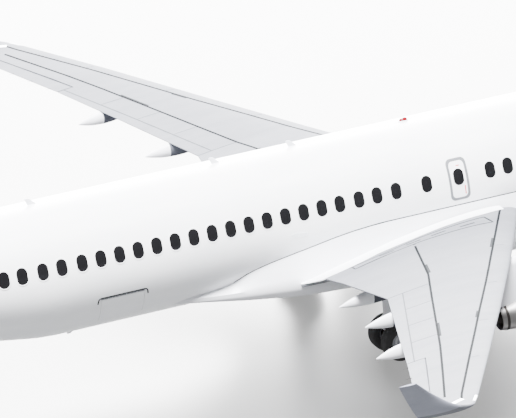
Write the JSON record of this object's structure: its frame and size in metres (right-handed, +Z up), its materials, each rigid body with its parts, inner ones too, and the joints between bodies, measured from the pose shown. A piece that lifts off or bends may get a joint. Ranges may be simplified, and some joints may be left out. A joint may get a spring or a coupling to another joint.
{
  "type": "narrow-body twin-jet airliner",
  "caption": "Low-wing jet airliner on its landing gear, with underwing turbofans, winglets, hinged control surfaces, cargo doors and steerable nose wheels.",
  "frame": {"origin": "on the ground at the middle of the bounding box", "axes": "+X to the nose, +Y to port, +Z up"},
  "size_m": [38.71, 35.1224, 11.5],
  "materials": {
    "white_paint": "gloss",
    "grey_paint": "satin",
    "bare_metal": "satin",
    "gear_paint": "gloss",
    "tyre_rubber": "matte",
    "dark_glass": "gloss",
    "dark_metal": "satin"
  },
  "bodies": {
    "airframe": {"belly_fairing": "white_paint", "engine_core_left": "bare_metal", "engine_core_right": "bare_metal", "fin": "white_paint", "flap_inboard_left": "grey_paint", "flap_inboard_right": "grey_paint", "flap_outboard_left": "grey_paint", "flap_outboard_right": "grey_paint", "fuselage": "white_paint", "main_gear_door_left": "white_paint", "main_gear_door_right": "white_paint", "main_gear_leg_left": "gear_paint", "main_gear_leg_right": "gear_paint", "nacelle_left": "white_paint", "nacelle_right": "white_paint", "nose_gear_door_left": "white_paint", "nose_gear_door_right": "white_paint", "nose_gear_leg": "gear_paint", "overwing_exit_left": "white_paint", "overwing_exit_right": "white_paint", "passenger_door_front_left": "white_paint", "passenger_door_rear_left": "white_paint", "pylon_left": "white_paint", "pylon_right": "white_paint", "radome": "white_paint", "service_door_front_right": "white_paint", "service_door_rear_right": "white_paint", "slats_left": "grey_paint", "slats_right": "grey_paint", "stabiliser_left": "white_paint", "stabiliser_right": "white_paint", "tail_cone": "dark_metal", "windscreen": "dark_glass", "wing_left": "grey_paint", "wing_right": "grey_paint", "winglet_left": "white_paint", "winglet_right": "white_paint"},
    "rudder": {"rudder": "white_paint"},
    "elevator_left": {"elevator_left": "white_paint"},
    "elevator_right": {"elevator_right": "white_paint"},
    "aileron_left": {"aileron_left": "grey_paint"},
    "aileron_right": {"aileron_right": "grey_paint"},
    "cargo_door_front": {"cargo_door_front": "white_paint"},
    "cargo_door_rear": {"cargo_door_rear": "white_paint"},
    "fan_left": {"fan_left": "bare_metal"},
    "fan_right": {"fan_right": "bare_metal"},
    "nose_steering_piston": {"nose_gear_piston": "gear_paint"},
    "nose_wheels": {"nose_rims": "bare_metal", "nose_tyre_left": "tyre_rubber", "nose_tyre_right": "tyre_rubber"},
    "main_wheels_left": {"main_rims_left": "bare_metal", "main_tyre_inner_left": "tyre_rubber", "main_tyre_outer_left": "tyre_rubber"},
    "main_wheels_right": {"main_rims_right": "bare_metal", "main_tyre_inner_right": "tyre_rubber", "main_tyre_outer_right": "tyre_rubber"}
  },
  "joints": [
    {"name": "rudder_hinge", "type": "hinge", "parent": "airframe", "child": "rudder", "pos_m": [-16.54244, 0, 5.7], "axis": [-0.3115, 0, 0.9502], "range_deg": [-30, 30]},
    {"name": "elevator_left_hinge", "type": "hinge", "parent": "airframe", "child": "elevator_left", "pos_m": [-16.96317, 1.2, 4.3963], "axis": [-0.2857, 0.9543, 0.0884], "range_deg": [-18, 28]},
    {"name": "elevator_right_hinge", "type": "hinge", "parent": "airframe", "child": "elevator_right", "pos_m": [-16.96317, -1.2, 4.3963], "axis": [0.2857, 0.9543, -0.0884], "range_deg": [-18, 28]},
    {"name": "aileron_left_hinge", "type": "hinge", "parent": "airframe", "child": "aileron_left", "pos_m": [-3.86757, 12.64, 3.73074], "axis": [-0.3651, 0.9274, 0.0816], "range_deg": [-25, 25]},
    {"name": "aileron_right_hinge", "type": "hinge", "parent": "airframe", "child": "aileron_right", "pos_m": [-3.86757, -12.64, 3.73074], "axis": [0.3651, 0.9274, -0.0816], "range_deg": [-25, 25]},
    {"name": "cargo_door_front_hinge", "type": "hinge", "parent": "airframe", "child": "cargo_door_front", "pos_m": [9.755, -1.62835, 2.77223], "axis": [-1, 0, 0], "range_deg": [0, 120]},
    {"name": "cargo_door_rear_hinge", "type": "hinge", "parent": "airframe", "child": "cargo_door_rear", "pos_m": [-7.785, -1.62835, 2.77223], "axis": [-1, 0, 0], "range_deg": [0, 120]},
    {"name": "fan_left_spin", "type": "hinge", "parent": "airframe", "child": "fan_left", "pos_m": [4.54195, 5.5, 1.41002], "axis": [0.999, 0, 0.0436], "continuous": true},
    {"name": "fan_right_spin", "type": "hinge", "parent": "airframe", "child": "fan_right", "pos_m": [4.54195, -5.5, 1.41002], "axis": [0.999, 0, 0.0436], "continuous": true},
    {"name": "nose_steering", "type": "hinge", "parent": "airframe", "child": "nose_steering_piston", "pos_m": [14.105, 0, 0.345], "axis": [0, 0, 1], "range_deg": [-75, 75]},
    {"name": "nose_wheels_spin", "type": "hinge", "parent": "nose_steering_piston", "child": "nose_wheels", "pos_m": [14.105, 0, 0.345], "axis": [0, 1, 0], "continuous": true},
    {"name": "main_wheels_left_spin", "type": "hinge", "parent": "airframe", "child": "main_wheels_left", "pos_m": [-0.825, 3.365, 0.52], "axis": [0, 1, 0], "continuous": true},
    {"name": "main_wheels_right_spin", "type": "hinge", "parent": "airframe", "child": "main_wheels_right", "pos_m": [-0.825, -3.365, 0.52], "axis": [0, 1, 0], "continuous": true}
  ],
  "couplings": [
    {"joint": "elevator_right_hinge", "follows": "elevator_left_hinge", "ratio": 1},
    {"joint": "aileron_right_hinge", "follows": "aileron_left_hinge", "ratio": -1}
  ]
}
